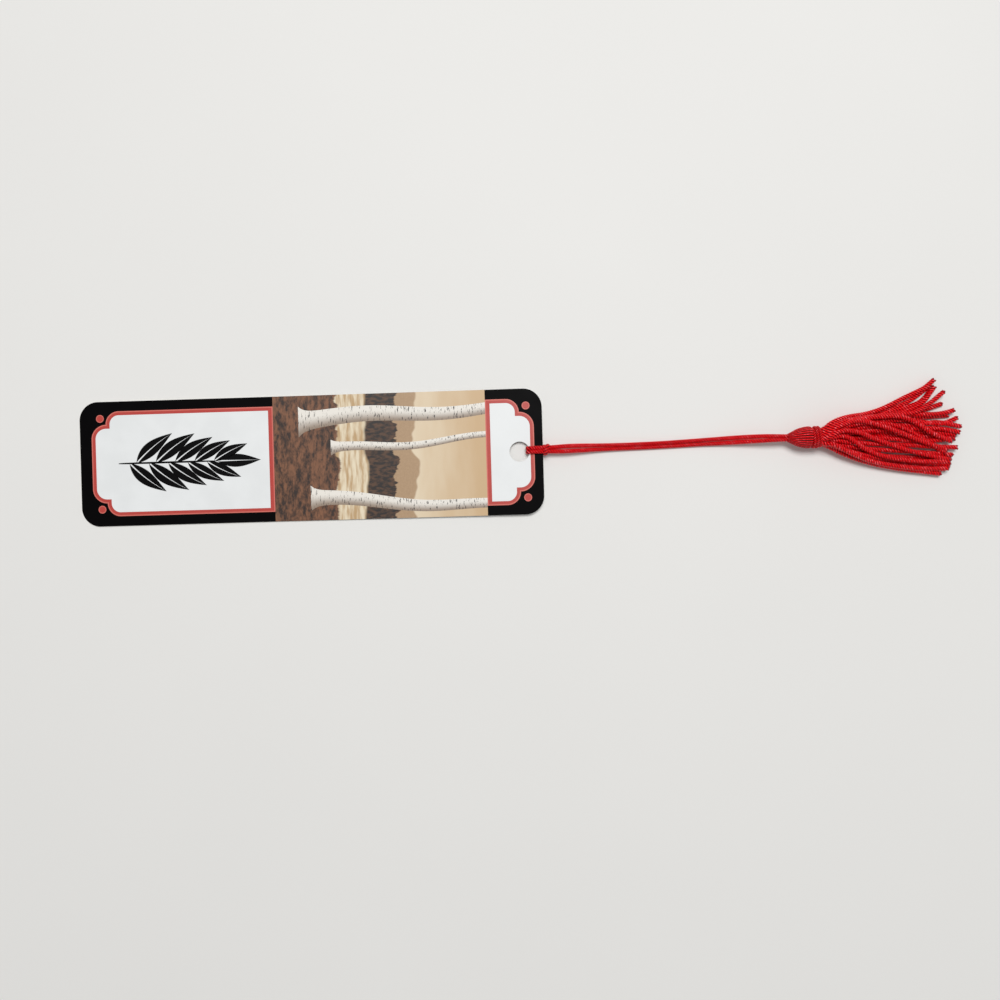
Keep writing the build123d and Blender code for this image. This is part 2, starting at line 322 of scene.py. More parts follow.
def ink(name, card, tone, shade, specular=0.3, speck=0.16):
    """Printed ink: a fine mottle, a few paler specks where it is thin, and the coat's gloss."""
    finish = Finish(name, Specular_IOR_Level=specular)
    place = finish.millimetres()
    mottle = finish.noise(place, scale=1.7, detail=4.0, roughness=0.62)
    printed = finish.mix(finish.fade(mottle, 0.32, 0.66), shaded(tone, shade), tone)
    specks = finish.fade(finish.noise(place, scale=5.5, detail=1.0), 0.78, 0.84, high=speck)
    finish.paint(finish.mix(specks, printed, card.hairline_colour))
    clouds = finish.noise(place, scale=0.11)
    finish.roughen(finish.fade(clouds, 0.3, 0.7, low=0.34, high=0.46))
    return finish.material


def rayon(cord):
    """Twisted rayon yarn: painted shade in the creases, and a painted highlight as a brighter line
    along each yarn's outermost side with short pale painted glints on it; fine fibres, and a tinted
    gleam that spreads across the fibres.

    The map runs once around a yarn, with its middle facing out of the cord, and in millimetres
    along it. The cut_end attribute is 1 at a cut end.
    """
    finish = Finish("red_rayon", Specular_IOR_Level=0.5, Specular_Tint=cord.gleam, Anisotropic=0.6)
    tangent = finish.node(
        "ShaderNodeTangent", {}, "Tangent", direction_type="UV_MAP", uv_map="yarn"
    )
    finish.feed(finish.shader.inputs["Tangent"], tangent)
    around = finish.axis(finish.surface_map((math.tau, 1.0)), "X")
    # Painted shade: outward is 1 where a yarn faces out of the cord and -1 where it faces in; with
    # random fibre noise added, it paints each yarn darker towards its creases
    outward = finish.math("MULTIPLY", finish.math("COSINE", around), -1.0)
    fibres = finish.noise(finish.surface_map((9.0, 0.8)), scale=1.6, detail=3.0, roughness=0.6)
    tone = finish.math("ADD", outward, finish.math("MULTIPLY", fibres, 0.9))
    with_painted_shade = finish.mix(finish.fade(tone, 0.85, 1.3), cord.crease_shade, cord.bright)
    # Painted highlight: a brighter line where each yarn faces furthest out, broken up by the fibre
    # noise
    crest = finish.math("ADD", outward, finish.math("MULTIPLY", fibres, 0.3))
    highlighted = finish.mix(finish.fade(crest, 1.1, 1.19), with_painted_shade, cord.crest)
    # Painted highlight: short paler glints on that line, at random places that noise picks
    smooth = finish.math("MULTIPLY", finish.noise(finish.millimetres(), scale=1.1, detail=1.0), 0.5)
    painted_glint = finish.fade(finish.math("ADD", outward, smooth), 1.255, 1.33)
    highlighted = finish.mix(painted_glint, highlighted, cord.painted_glint)
    cut_end = finish.node("ShaderNodeAttribute", {}, "Fac", attribute_name="cut_end")
    finish.paint(finish.mix(finish.math("MULTIPLY", cut_end, 0.85), highlighted, cord.cut))
    finish.roughen(finish.fade(fibres, 0.3, 0.7, low=0.24, high=0.34))
    fuzz = finish.noise(finish.surface_map((16.0, 1.1)), scale=1.5)
    finish.bump(fuzz, strength=0.4, depth=0.035 * MM)
    return finish.material


def yarn_finish(cord):
    """The yarn's finish, which the cord and the tassel share: made once and then found again."""
    return bpy.data.materials.get("red_rayon") or rayon(cord)


# The gloss of the picture's print
PRINT_GLOSS = {"Roughness": 0.4, "Specular_IOR_Level": 0.3, "Coat_Weight": 0.05}


def scenery(card, picture):
    """The picture's print, upright along +X: tan sky, pale far hills, a dark wood, a cream meadow
    and brown earth in the foreground. Each band ends at a height set by noise across the card."""
    finish = Finish("scenery", **PRINT_GLOSS)
    place = finish.millimetres()
    start = (CARD_LOW.x + card.picture_start) / MM
    span = (card.picture_end - card.picture_start) / MM
    up = finish.math("DIVIDE", finish.math("SUBTRACT", finish.axis(place, "X"), start), span)
    across = finish.millimetres((0.0, 1.0, 0.0))

    def below(height, rise, scale, detail, soft):
        """1 below a wavy line across the picture, 0 above it."""
        wave = finish.math("MULTIPLY", finish.noise(across, scale, detail, roughness=0.62), rise)
        depth = finish.math("SUBTRACT", finish.math("ADD", wave, height), up)
        return finish.fade(depth, -soft, soft)

    drift = finish.noise(finish.millimetres((1.0, 0.28, 1.0)), scale=0.16, detail=3.0)
    haze = finish.math("ADD", up, finish.math("MULTIPLY", drift, 0.35))
    grain = finish.noise(place, scale=2.4, detail=4.0, roughness=0.65)
    leaves = finish.noise(finish.millimetres((0.45, 1.0, 1.0)), scale=1.1, detail=4.0)
    grass = finish.noise(finish.millimetres((1.0, 0.16, 1.0)), scale=0.9, detail=4.0)
    ground = finish.millimetres((1.0, 0.42, 1.0))
    clods = finish.noise(ground, scale=0.75, detail=6.0, roughness=0.68)
    hills = finish.mix(grain, picture.hills_shade, picture.hills)
    wood = finish.mix(finish.fade(leaves, 0.38, 0.66), picture.wood_shade, picture.wood)
    meadow = finish.mix(finish.fade(grass, 0.34, 0.66), picture.meadow_shade, picture.meadow)
    earth = finish.mix(finish.fade(clods, 0.36, 0.64), picture.earth_shade, picture.earth)
    # each band, from the farthest, and its upper edge: height, rise, scale, detail and softness
    bands = [
        (hills, 0.585, 0.16, 0.085, 2.0, 0.006),
        (wood, 0.49, 0.17, 0.2, 6.0, 0.004),
        (meadow, 0.395, 0.08, 0.07, 2.0, 0.008),
        (earth, 0.235, 0.13, 0.12, 6.0, 0.006),
    ]
    result = finish.mix(finish.fade(haze, 0.62, 1.2), picture.low_sky, picture.high_sky)
    for band, *edge in bands:
        result = finish.mix(below(*edge), result, band)
    finish.paint(result)
    return finish.material


def birch_bark(picture):
    """White bark with dark dashes across it, shaded towards one edge of the trunk. The map runs
    across the trunk from 0 to 1, and along it in millimetres."""
    finish = Finish("birch_bark", **PRINT_GLOSS)
    side = finish.axis(finish.surface_map((1.0, 1.0)), "X")
    dashes = finish.noise(finish.surface_map((1.1, 1.25)), scale=1.7, detail=3.0, roughness=0.7)
    light = finish.mix(finish.fade(side, 0.0, 0.75), picture.bark_shade, picture.bark)
    finish.paint(finish.mix(finish.fade(dashes, 0.57, 0.63), light, picture.bark_dash))
    return finish.material


def grid_faces(rows, columns, wrap=False):
    """The quads of a grid of points kept row by row. With wrap, its last column joins its first."""
    index = np.arange(rows * columns).reshape(rows, columns)
    if wrap:
        index = np.concatenate([index, index[:, :1]], axis=1)
    corners = (index[:-1, :-1], index[:-1, 1:], index[1:, 1:], index[1:, :-1])
    return np.stack(corners, axis=-1).reshape(-1, 4)


def grid_map(along, columns):
    """Each face's corners on a grid's map, in the order of grid_faces: the column, counted on past
    the last one where the grid wraps, and the distance along in millimetres."""
    row, column = np.meshgrid(np.arange(len(along) - 1), np.arange(columns), indexing="ij")
    rows = np.stack([row, row, row + 1, row + 1], axis=-1)
    edges = np.stack([column, column + 1, column + 1, column], axis=-1)
    return np.stack([edges, along[rows] / MM], axis=-1).reshape(-1, 4, 2)


def new_piece(name, points, faces, materials, map_points=None, smooth=True):
    """A mesh object at the origin. map_points gives each face's corners their place on the map."""
    mesh = bpy.data.meshes.new(name)
    mesh.from_pydata(np.asarray(points).reshape(-1, 3), [], faces, shade_flat=not smooth)
    for material in materials:
        mesh.materials.append(material)
    if map_points is not None:
        layer = mesh.uv_layers.new(name="yarn")
        layer.data.foreach_set("uv", np.asarray(map_points, dtype=np.float32).ravel())
    piece = bpy.data.objects.new(name, mesh)
    bpy.context.scene.collection.objects.link(piece)
    return piece


def weld(piece, distance=0.0005 * MM):
    """Merge a mesh's points that lie together."""
    modifier = piece.modifiers.new("weld", "WELD")
    modifier.merge_threshold = distance


def distances(line):
    """How far along a line each of its points lies: the steps up to it, added up."""
    steps = np.linalg.norm(np.diff(line, axis=0), axis=1)
    return np.concatenate([[0.0], np.cumsum(steps)])


# How many points a route's spline is read at for each of the route's own points
SPLINE_POINTS = 24


def smooth_line(route, step):
    """Points a steady step apart on the smooth line of a route: a NURBS spline with the route's
    points as its control points."""
    curve = bpy.data.curves.new("route", "CURVE")
    curve.dimensions = "3D"
    curve.resolution_u = SPLINE_POINTS
    spline = curve.splines.new("NURBS")
    spline.points.add(len(route) - 1)
    control = np.ones((len(route), 4))
    control[:, :3] = route
    spline.points.foreach_set("co", control.ravel())
    spline.order_u = 3
    spline.use_endpoint_u = True
    carrier = bpy.data.objects.new("route", curve)
    mesh = bpy.data.meshes.new_from_object(carrier)
    line = np.empty(len(mesh.vertices) * 3)
    mesh.vertices.foreach_get("co", line)
    bpy.data.meshes.remove(mesh)
    bpy.data.objects.remove(carrier)
    bpy.data.curves.remove(curve)
    line = line.reshape(-1, 3)
    along = distances(line)
    places = np.linspace(0.0, along[-1], math.ceil(along[-1] / step) + 1)
    return np.stack([np.interp(places, along, values) for values in line.T], axis=1)


# A direction in which no line starts
ASIDE = (0.31, 0.17, 0.93)


def carried_frames(line):
    """Each point's direction, side and up. The side is carried along the line without twisting
    about it: each step takes away what part of it lies along the new direction."""
    ways = np.gradient(line, axis=0)
    ways /= np.linalg.norm(ways, axis=1, keepdims=True)
    side = np.cross(ways[0], ASIDE)
    sides = np.empty_like(ways)
    for place, way in enumerate(ways):
        side = side - way * (side @ way)
        side /= np.linalg.norm(side)
        sides[place] = side
    return ways, sides, np.cross(ways, sides)


# A yarn's radius and its distance from the cord's middle, as shares of the cord's diameter
YARN_SHARE = 0.245
HELIX_SHARE = 0.255
# How much the yarns of a frayed end thin out and part, and over which length
FRAY_SHARE = 0.3
FRAY_LENGTH = 1.0 * MM
# Points round a yarn of the cord and the binding, and of a strand
YARN_SIDES = 10
STRAND_SIDES = 8


def twisted_yarns(line, diameter, lay, yarns, sides, fray=0.0):
    """Points of yarns twisted into a cord along a line, as yarns by rings by points of a ring.

    A yarn's middle goes round the line on a right-handed helix, one turn to each lay. Its ring lies
    across that helix, so that the yarns press together without a gap. Towards a frayed end the
    yarns thin out and part.
    """
    along = distances(line)
    ways, across, up = carried_frames(line)
    loose = np.clip(1 - (along[-1] - along) / FRAY_LENGTH, 0.0, 1.0) ** 2 * fray
    yarn_radius = YARN_SHARE * diameter * (1 - FRAY_SHARE * loose)
    helix_radius = HELIX_SHARE * diameter * (1 + FRAY_SHARE * loose)
    turn = math.tau * (along / lay + np.arange(yarns)[:, None] / yarns)
    outward = np.cos(turn)[..., None] * across + np.sin(turn)[..., None] * up
    round_way = np.cos(turn)[..., None] * up - np.sin(turn)[..., None] * across
    climb = np.arctan2(math.tau * helix_radius, lay)[:, None]
    tilted = round_way * np.cos(climb) - ways * np.sin(climb)
    angle = np.linspace(-math.pi, math.pi, sides, endpoint=False)[:, None]
    middle = line + helix_radius[:, None] * outward
    ring = np.cos(angle) * outward[:, :, None, :] + np.sin(angle) * tilted[:, :, None, :]
    return middle[:, :, None, :] + yarn_radius[:, None, None] * ring


def cord_piece(name, rings, along, material, cut_end=None):
    """A mesh of twisted yarns from their rings of points, with a face across each yarn's ends.
    cut_end gives each ring's value of that attribute, which is 0 all along if it is left out."""
    yarns, count, sides = rings.shape[:3]
    tube = grid_faces(count, sides, wrap=True)
    first = np.arange(sides)
    caps = [first[::-1], first + (count - 1) * sides]
    faces = []
    for yarn in range(yarns):
        start = yarn * count * sides
        faces += (tube + start).tolist() + [(cap + start).tolist() for cap in caps]
    tube_map = (grid_map(along, sides) / (sides, 1)).reshape(-1, 2)
    cap_maps = [np.tile((0.5, end / MM), (sides, 1)) for end in along[[0, -1]]]
    one_map = np.concatenate([tube_map, *cap_maps])
    piece = new_piece(name, rings, faces, [material], np.tile(one_map, (yarns, 1)))
    attribute = piece.data.attributes.new("cut_end", "FLOAT", "POINT")
    wear = np.zeros(count) if cut_end is None else cut_end
    values = np.tile(np.repeat(wear, sides), yarns).astype(np.float32)
    attribute.data.foreach_set("value", values)
    return piece


def card_top(card, along):
    """Height of the card's printed face: level over the flat stretch, then rising as the square of
    the distance from it, up to the height that the frame gives the card's end."""
    bow_start = CARD_LOW.x + card.flat
    rise = CARD_HIGH.z - CARD_LOW.z - card.thickness
    share = np.clip((along - bow_start) / (CARD_HIGH.x - bow_start), 0.0, None)
    return CARD_LOW.z + card.thickness + rise * share**2


# Points on half a circle of an outline, and the step between points elsewhere along the card
ARC_POINTS = 41
CARD_STEP = 2.5 * MM


def round_places(middle, radius):
    """Places along the card that divide a circle's outline evenly: its middle less its radius
    times the cosine of even angles."""
    return middle - radius * np.cos(np.linspace(0.0, math.pi, ARC_POINTS))


def arc_height(along, middle, radius):
    """Half the width of a circle at places along the card: the root of its radius squared less
    the distance from its middle squared, and 0 past its ends."""
    return np.sqrt(np.clip(radius**2 - (along - middle) ** 2, 0.0, None))


class CardOutline:
    """The outline of the card, with its rounded corners."""

    def __init__(self, card):
        self.corner = card.corner

    def half_width(self, along):
        """Half the card's width at places along it: out to the middle of a corner's circle, and
        on by half that circle's width there."""
        corner = self.corner
        inside = np.minimum(along - CARD_LOW.x, CARD_HIGH.x - along)
        return CARD_HIGH.y - corner + arc_height(np.minimum(inside, corner), corner, corner)


def hole_middle(card):
    """Place of the punched hole along the card."""
    return CARD_HIGH.x - card.hole_to_end


def card_places(card):
    """Places along the card close enough for its corners, its hole and its bow."""
    plain = np.arange(CARD_LOW.x, CARD_HIGH.x, CARD_STEP)
    corners = [
        round_places(CARD_LOW.x + card.corner, card.corner),
        round_places(CARD_HIGH.x - card.corner, card.corner),
    ]
    hole = round_places(hole_middle(card), card.hole / 2)
    return np.concatenate([plain, *corners, hole])


class PanelOutline:
    """The outline of a white panel, inset by a distance. Its two corners at the card's end step in
    with two quarter arcs, and the two beside the picture are square.

    Its half width at a place follows the arc nearer the end, a short level stretch as wide as the
    inset, and the arc nearer the long side, up to the panel's full half width.
    """

    # how far from the outline's jump the points on its two sides lie
    JUMP_ROOM = 0.0001 * MM

    def __init__(self, card, end, picture, inset, picture_inset):
        self.way = 1.0 if picture > end else -1.0
        self.end = end + self.way * inset
        self.picture = picture - self.way * picture_inset
        self.inset = inset
        self.top = CARD_HIGH.y - card.side_border
        self.step, self.end_step = card.step, card.end_step
        self.outer_end = end

    def span(self):
        """The outline's two ends along the card, the lower one first."""
        return sorted((self.end, self.picture))

    def within(self, places):
        """Those of some places along the card that lie between the outline's ends."""
        low, high = self.span()
        return places[(places >= low) & (places <= high)]

    def places(self):
        """Places along the card that follow the outline's arcs, with both sides of its jump."""
        arcs = [
            round_places(self.end_step, self.end_step - self.inset),
            round_places(self.end_step + self.step, self.step - self.inset),
        ]
        jump = self.end_step + self.inset
        near = np.concatenate([*arcs, [jump - self.JUMP_ROOM, jump + self.JUMP_ROOM]])
        return np.concatenate([self.within(self.outer_end + self.way * near), self.span()])

    def half_width(self, along):
        """Half the outline's width at places along the card: out to the middle of one arc's
        circle or the other's, and on by half that circle's width there."""
        inward = (along - self.outer_end) * self.way
        end_middle, side_middle = self.end_step, self.end_step + self.step
        end_radius, side_radius = self.end_step - self.inset, self.step - self.inset
        end_arc = arc_height(np.minimum(inward, end_middle), end_middle, end_radius)
        side_arc = arc_height(np.minimum(inward, side_middle), side_middle, side_radius)
        low = self.top - self.step - self.end_step + end_arc
        high = self.top - self.step + side_arc
        return np.where(inward < self.end_step + self.inset, low, high)


def strips(card, along, low, high, lift):
    """Two mirrored strips of the card's surface: at each place along it, from low to high across
    it, on the printed face with a lift above it. Gives points and faces."""
    along = np.asarray(along)
    height = card_top(card, along) + lift
    upper = np.stack([np.stack([along, side, height], axis=1) for side in (low, high)], axis=1)
    lower = upper[:, ::-1] * np.array([1.0, -1.0, 1.0])
    quads = grid_faces(len(along), 2)[:, ::-1]
    points = np.concatenate([upper.reshape(-1, 3), lower.reshape(-1, 3)])
    return points, np.concatenate([quads, quads + 2 * len(along)])


def joined(parts):
    """Points and faces of several parts as one."""
    starts = np.cumsum([0] + [len(points) for points, _ in parts])
    points = np.concatenate([points for points, _ in parts])
    return points, np.concatenate([faces + start for start, (_, faces) in zip(starts, parts)])


def ring_of_strips(card, places, outer, inner):
    """Strips of print that fill an outline from an inner one to its edge. Where the inner one ends,
    they reach the card's middle line."""
    low, high = inner.span()
    places = np.unique(places)
    spans = [
        (places[places <= low], None),
        (inner.within(places), inner),
        (places[places >= high], None),
    ]
    parts = []
    for along, hollow in spans:
        if len(along) > 1:
            start = np.zeros(len(along)) if hollow is None else hollow.half_width(along)
            parts.append(strips(card, along, start, outer.half_width(along), card.film))
    return parts


# The thickness of a film of ink, as a share of its height above what it lies on
FILM_SHARE = 0.6


def lay_film(piece, card):
    """Give a piece on the card's face the thickness of a film of ink, and let it ride there."""
    skin = piece.modifiers.new("film", "SOLIDIFY")
    skin.thickness = FILM_SHARE * card.film
    skin.offset = -1.0
    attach(piece, "card")


def film_piece(name, parts, material, card):
    """A thin closed film of ink on the card, from strips of its surface."""
    points, faces = joined(parts)
    piece = new_piece(name, points, faces, [material], smooth=False)
    weld(piece)
    lay_film(piece, card)


class MakeCard(bpy.types.Operator):
    """Make the card: a bowed sheet with rounded corners and a punched hole"""

    bl_idname = "bookmark.make_card"
    bl_label = "Card"

    # the edge's rounding, the steps in it, and the least angle between faces that is rounded
    EDGE = 0.07 * MM
    EDGE_STEPS = 2
    EDGE_ANGLE = math.radians(50)

    def execute(self, context):
        """Fill each side from the hole's edge, or the middle line, out to the card's outline, and
        give the sheet its thickness and its rounded edges."""
        card = context.scene.bookmark_card
        places = np.unique(card_places(card))
        hole = arc_height(places, hole_middle(card), card.hole / 2)
        points, faces = strips(card, places, hole, CardOutline(card).half_width(places), 0.0)
        finishes = [coated_stock(card), cut_core(card)]
        piece = new_piece("card_stock", points, faces, finishes, smooth=False)
        weld(piece)
        sheet = piece.modifiers.new("thickness", "SOLIDIFY")
        sheet.thickness = card.thickness
        sheet.offset = -1.0
        sheet.material_offset_rim = 1
        edge = piece.modifiers.new("die_cut_edge", "BEVEL")
        edge.width = self.EDGE
        edge.segments = self.EDGE_STEPS
        edge.limit_method = "ANGLE"
        edge.angle_limit = self.EDGE_ANGLE
        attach(piece, "card")
        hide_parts("card")
        return {"FINISHED"}


class PrintFrame(bpy.types.Operator):
    """Print the black border, the red rules with their stepped corners, and the corner dots"""

    bl_idname = "bookmark.print_frame"
    bl_label = "Frame"

    # a dot's rim, as a share of the hairline's width
    RIM_SHARE = 0.7

    def execute(self, context):
        """At each end of the card, fill the rule, the hairline and the border, each from one
        outline out to the next."""
        card = context.scene.bookmark_card
        black = ink("border_ink", card, card.border_colour, shade=0.6, specular=0.03, speck=0.02)
        red = ink("rule_ink", card, card.rule_colour, shade=0.9)
        pale = ink("hairline_ink", card, card.hairline_colour, shade=0.92)
        ends = [
            (CARD_LOW.x + card.foot_border, CARD_LOW.x + card.picture_start),
            (CARD_HIGH.x - card.head_border, CARD_LOW.x + card.picture_end),
        ]
        insets = [(0.0, 0.0), (card.hairline, card.hairline), (card.rule, card.inner_rule)]
        border, hairline, rule = [], [], []
        for end, picture in ends:
            edge, line, panel = [
                PanelOutline(card, end, picture, inset, beside) for inset, beside in insets
            ]
            low, high = edge.span()
            outside = card_places(card)
            outside = outside[outside < high if end < picture else outside > low]
            outlines = [outline.places() for outline in (edge, line, panel)]
            places = np.concatenate([*outlines, outside])
            border += ring_of_strips(card, places, CardOutline(card), edge)
            hairline += ring_of_strips(card, edge.within(places), edge, line)
            rule += ring_of_strips(card, line.within(places), line, panel)
        film_piece("printed_border", border, black, card)
        film_piece("printed_hairline", hairline, pale, card)
        film_piece("printed_rule", rule, red, card)
        self.print_dots(card, red, pale)
        return {"FINISHED"}

    def print_dots(self, card, red, pale):
        """A red disc with a paler rim in each corner of the border: strips across a circle, and
        strips from that one out to a larger one."""
        radius = card.dot / 2
        core = radius - self.RIM_SHARE * card.hairline
        discs, rims = [], []
        for end in (CARD_LOW.x + card.foot_dot_inset, CARD_HIGH.x - card.head_dot_inset):
            side = CARD_HIGH.y - card.dot_inset
            places = round_places(end, radius)
            inner_places = round_places(end, core)
            every = np.unique(np.concatenate([places, inner_places]))
            bulge, hollow = arc_height(every, end, radius), arc_height(every, end, core)
            rims.append(strips(card, every, side + hollow, side + bulge, 2 * card.film))
            rims.append(strips(card, every, side - bulge, side - hollow, 2 * card.film))
            bulge = arc_height(inner_places, end, core)
            discs.append(strips(card, inner_places, side - bulge, side + bulge, 2 * card.film))
        film_piece("printed_dots", discs, red, card)
        film_piece("printed_dot_rims", rims, pale, card)


class PrintPicture(bpy.types.Operator):
    """Print the picture: a landscape across the whole card, with birch trunks before it"""

    bl_idname = "bookmark.print_picture"
    bl_label = "Picture"

    PICTURE_ROWS = 40
    TRUNK_ROWS = 60
    # for each trunk: its place across the card and its width at its foot, as shares of half the
    # card's width, its foot and its lean, as shares of the picture's length
    TRUNK_SHARES = [(-0.66, 0.24, 0.17, -0.05), (0.12, 0.15, 0.27, 0.04), (0.61, 0.29, 0.12, 0.03)]
    TAPER_SHARE = 0.36
    # a trunk's sway: how far it goes, as a share of the picture's length, the angle that it goes
    # through, and how far on it starts, by the trunk's place across the card
    SWAY_SHARE = 0.012
    SWAY_ANGLE = 7.0
    SWAY_START = 9.0
    # how much wider a trunk's foot is, and the share of its height in which that dies away
    FLARE = 0.7
    FLARE_SHARE = 0.03

    def execute(self, context):
        """Lay the landscape across the card from edge to edge, and the trunks' ribbons on it."""
        card = context.scene.bookmark_card
        picture = context.scene.bookmark_picture
        start = CARD_LOW.x + card.picture_start
        end = CARD_LOW.x + card.picture_end
        places = np.linspace(start, end, self.PICTURE_ROWS)
        half = np.full(len(places), CARD_HIGH.y)
        ground = strips(card, places, 0.0 * half, half, card.film)
        film_piece("printed_picture", [ground], scenery(card, picture), card)
        trunks = [self.trunk(card, start, end - start, *shares) for shares in self.TRUNK_SHARES]
        points, faces = joined([trunk[:2] for trunk in trunks])
        maps = np.concatenate([trunk[2] for trunk in trunks])
        bark = birch_bark(picture)
        piece = new_piece("printed_trunks", points, faces, [bark], maps, smooth=False)
        lay_film(piece, card)
        return {"FINISHED"}

    def trunk(self, card, start, span, side_share, width_share, foot_share, lean_share):
        """A trunk's ribbon: its middle sways as a sine along the picture and leans, and its width
        tapers from a flared foot to the picture's edge. Gives points, faces and their map."""
        rise = np.linspace(0.0, 1.0, self.TRUNK_ROWS)
        along = start + span * (foot_share + (1 - foot_share) * rise)
        sway = self.SWAY_SHARE * np.sin(self.SWAY_ANGLE * rise + self.SWAY_START * side_share)
        middle = CARD_HIGH.y * side_share + span * (sway + lean_share * rise)
        flare = 1 + self.FLARE * np.exp(-rise / self.FLARE_SHARE)
        width = CARD_HIGH.y * width_share * (1 - self.TAPER_SHARE * rise) * flare
        height = card_top(card, along) + 2 * card.film
        sides = [middle - width / 2, middle + width / 2]
        points = np.stack([np.stack([along, side, height], axis=1) for side in sides], axis=1)
        faces = grid_faces(len(along), 2)[:, ::-1]
        return points.reshape(-1, 3), faces, grid_map(along, 1)[:, ::-1]


class PrintSprig(bpy.types.Operator):
    """Print a leafy sprig in black on the larger white panel"""

    bl_idname = "bookmark.print_sprig"
    bl_label = "Sprig"

    # places along the panel and sizes, as shares of the panel's length
    FOOT_SHARE = 0.13
    TIP_SHARE = 0.7
    LEAF_SHARE = 0.25
    STEM_SHARE = 0.011
    # the pairs of leaves on the stem: how many, the first one's place and the spare room, counted
    # in pairs, and how far each leaf of a pair is moved along, as a share of the stem
    LEAF_PAIRS = 5
    FIRST_PAIR = 0.75
    SPARE_PAIR = 0.1
    STAGGER_SHARE = 0.035
    # a leaf's size: its greatest, where on the stem that is, and how fast it falls off from there
    GREATEST = 1.12
    GREATEST_PLACE = 0.3
    FALL_OFF = 0.42
    # a leaf's width, curl and bare middle line, the first two as shares of its length and the
    # third of its width
    WIDTH_SHARE = 0.3
    CURL_SHARE = 0.16
    VEIN_SHARE = 0.05
    # a leaf's turn from the stem in degrees: at the stem's foot, and how much less at its tip
    TURN = 50
    TURN_LOSS = 16
    # a blade's rows, its blunt ends as a share of its length, the power that sets its widest place
    # nearer its base, and the power of its swelling that makes a stem
    BLADE_ROWS = 25
    BLUNT_SHARE = 0.004
    BASE_POWER = 0.82
    STEM_POWER = 0.25

    def execute(self, context):
        """Set pairs of leaves along a stem, smaller the farther they are from the place of the
        greatest ones, and one leaf on the stem's tip."""
        card = context.scene.bookmark_card
        start = CARD_LOW.x + card.foot_border + card.rule
        span = CARD_LOW.x + card.picture_start - card.inner_rule - start
        foot, tip = start + self.FOOT_SHARE * span, start + self.TIP_SHARE * span
        stem_width = self.STEM_SHARE * span
        parts = [self.blade(card, foot, 0.0, tip - foot, stem_width, power=self.STEM_POWER)]
        leaf_size = self.LEAF_SHARE * span
        for pair in range(self.LEAF_PAIRS):
            place = (pair + self.FIRST_PAIR) / (self.LEAF_PAIRS + self.SPARE_PAIR)
            size = leaf_size * (self.GREATEST - self.FALL_OFF * abs(place - self.GREATEST_PLACE))
            for side in (-1, 1):
                base = foot + (tip - foot) * (place + self.STAGGER_SHARE * side)
                turn = side * math.radians(self.TURN - self.TURN_LOSS * place)
                parts += self.leaf(card, base, turn, size, -self.CURL_SHARE * side)
        parts += self.leaf(card, tip, 0.0, leaf_size, 0.0)
        black = ink("sprig_ink", card, card.border_colour, shade=0.7, specular=0.05, speck=0.02)
        film_piece("printed_sprig", parts, black, card)
        return {"FINISHED"}

    def leaf(self, card, base, turn, size, curl):
        """The two halves of a leaf."""
        width = self.WIDTH_SHARE * size
        return [self.blade(card, base, turn, size, width, curl, half) for half in (-1, 1)]

    def blade(self, card, base, turn, size, width, curl=0.0, half=0, power=1.0):
        """A stem or one half of a leaf: from its base on the card's middle line, turned from +X,
        with a middle line that curls as the square of the distance and a width that swells as a
        power of a sine. A half leaves a thin bare line along the middle."""
        share = np.linspace(0.0, 1.0, self.BLADE_ROWS)
        middle = curl * size * share**2
        inside = np.clip(share, self.BLUNT_SHARE, 1 - self.BLUNT_SHARE)
        swell = width / 2 * np.sin(math.pi * inside**self.BASE_POWER) ** power
        vein = np.minimum(self.VEIN_SHARE * width * (1 - share), swell)
        low = middle - swell if half <= 0 else middle + vein
        high = middle + swell if half >= 0 else middle - vein
        sides = np.stack([low, high], axis=1)
        along = base + math.cos(turn) * size * share[:, None] - math.sin(turn) * sides
        across = math.sin(turn) * size * share[:, None] + math.cos(turn) * sides
        points = np.stack([along, across, card_top(card, along) + card.film], axis=-1)
        return points.reshape(-1, 3), grid_faces(len(share), 2)[:, ::-1]


# The cord's route in millimetres: from inside the crown along the left leg to the card's end, round
# the hitch, and back along the right leg. Each point is along, across and up.
LEFT_LEG = [
    (150.6, 1.95, 4.2),
    (146.6, 2.1, 4.2),
    (140.74, 2.36, 4.2),
    (135.34, 2.38, 3.08),
    (128.44, 2.2, 1.66),
    (119.94, 1.87, 0.86),
    (108.94, 1.4, 0.7),
    (97.94, 1.2, 0.94),
    (89.14, 1.2, 1.52),
    (83.54, 1.26, 2.2),
    (78.94, 1.2, 2.66),
]
RIGHT_LEG = [
    (78.94, -0.35, 2.66),
    (83.54, -0.22, 2.06),
    (89.14, -0.04, 1.3),
    (97.94, 0.04, 0.74),
    (108.94, 0.23, 0.66),
    (119.94, 0.6, 0.7),
    (128.44, 0.8, 1.36),
    (135.34, 0.98, 2.86),
    (140.74, 1.06, 4.2),
    (146.6, 1.1, 4.2),
    (150.6, 1.2, 4.2),
]
